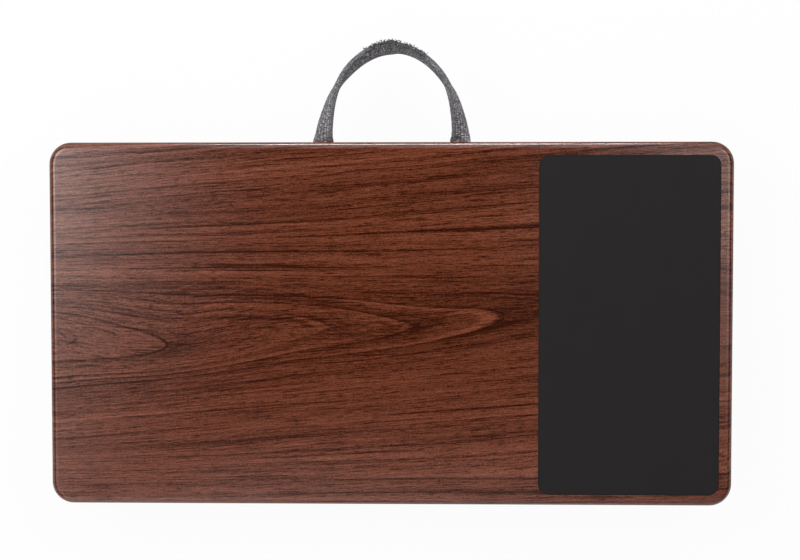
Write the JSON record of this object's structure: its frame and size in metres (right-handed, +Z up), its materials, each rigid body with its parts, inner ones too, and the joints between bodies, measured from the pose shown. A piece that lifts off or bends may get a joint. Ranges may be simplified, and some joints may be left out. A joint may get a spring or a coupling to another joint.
{
  "type": "lap desk",
  "caption": "Woodgrain lap desk with rounded edges, an inlaid mouse pad at one side, a cloth carrying handle at the rear edge and stuffed bolsters under a stapled deck.",
  "frame": {"origin": "on the floor plane under the middle of the whole outline, handle included", "axes": "+X to the right, towards the mouse pad; +Y to the rear edge with the handle; +Z up out of the work surface"},
  "size_m": [0.53, 0.3597, 0.058],
  "materials": {
    "fibreboard": "raw medium-density fibreboard",
    "woodgrain": "red-brown woodgrain film with a satin gloss",
    "backing": "plain dark backing film",
    "adhesive": "double-sided adhesive film",
    "mouse_pad": "fine-grained matt charcoal sheet",
    "hardboard": "raw brown hardboard",
    "base_cloth": "plain dark woven lining",
    "cover_cloth": "grey heather cloth",
    "filling": "loose white polyester stuffing",
    "strap_cloth": "grey heather cloth, folded and stitched",
    "staple_wire": "galvanised flat wire"
  },
  "bodies": {
    "desk": {"board_core": "fibreboard", "woodgrain_film": "woodgrain", "backing_sheet": "backing", "pad_adhesive": "adhesive", "mouse_pad": "mouse_pad", "deck_panel": "hardboard", "base_cloth": "base_cloth", "bolster_cover_left": "cover_cloth", "bolster_cover_right": "cover_cloth", "bolster_fill_left": "filling", "bolster_fill_right": "filling", "handle_tab_left": "strap_cloth", "handle_tab_right": "strap_cloth", "handle_staples": "staple_wire", "deck_staples": "staple_wire"},
    "handle": {"handle_loop": "strap_cloth"}
  },
  "joints": [
    {"name": "handle_swing", "type": "hinge", "parent": "desk", "child": "handle", "pos_m": [0, 0.10815, 0.0465], "axis": [1, 0, 0], "range_deg": [-90, 90]}
  ]
}
